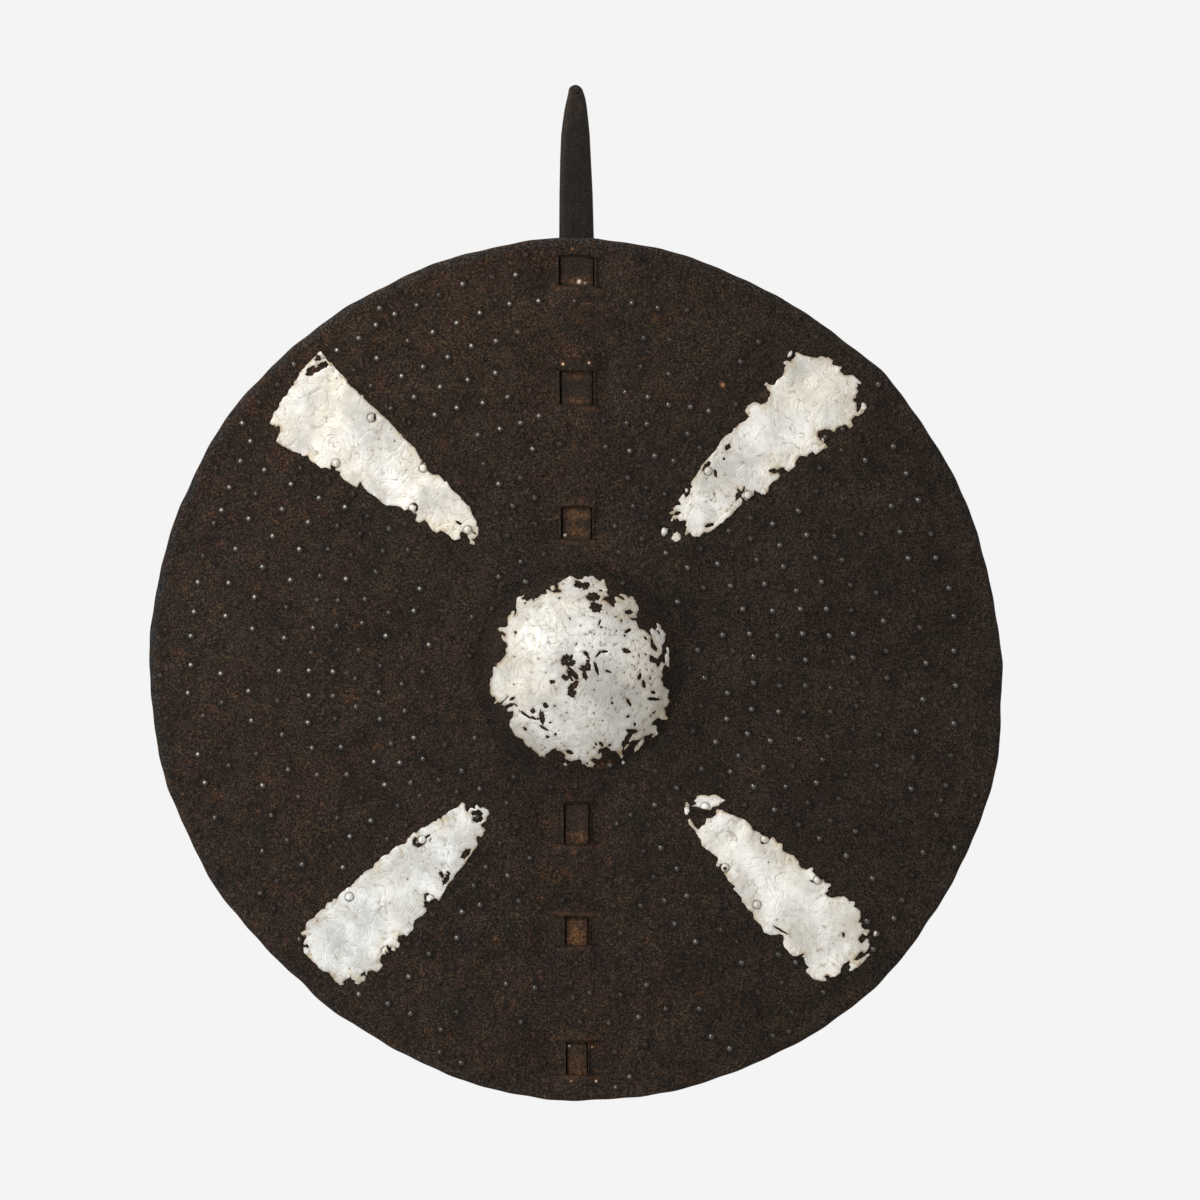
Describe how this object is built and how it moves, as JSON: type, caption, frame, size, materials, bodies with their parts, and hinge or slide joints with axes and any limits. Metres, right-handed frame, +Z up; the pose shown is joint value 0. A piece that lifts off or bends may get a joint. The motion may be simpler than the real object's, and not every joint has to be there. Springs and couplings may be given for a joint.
{
  "type": "tam tam gong",
  "caption": "Round bossed disc of thick dark hide with raised studs and worn metal leaf, threaded on a flat wooden staff through slit loops.",
  "frame": {"origin": "on the staff's centre line at the hand grip, in the hollow behind the boss", "axes": "+Z up the staff to its pointed head, -Y out of the decorated front face, +X to the right for someone looking at the front"},
  "size_m": [0.6026, 0.0574, 0.7154],
  "materials": {
    "hide": "dry, dark, mottled",
    "staff_wood": "smoke-darkened, hand-worn",
    "leaf": "worn silver-coloured metal leaf, tarnished at its torn edges"
  },
  "bodies": {
    "staff": {"staff": "staff_wood"},
    "disc": {"hide_disc": "hide", "centre_leaf": "leaf", "leaf_top_left": "leaf", "leaf_top_right": "leaf", "leaf_bottom_left": "leaf", "leaf_bottom_right": "leaf"}
  },
  "joints": [
    {"name": "disc_slide", "type": "slide", "parent": "staff", "child": "disc", "axis": [0, 0, -1], "range_m": [0, 0.58]}
  ]
}
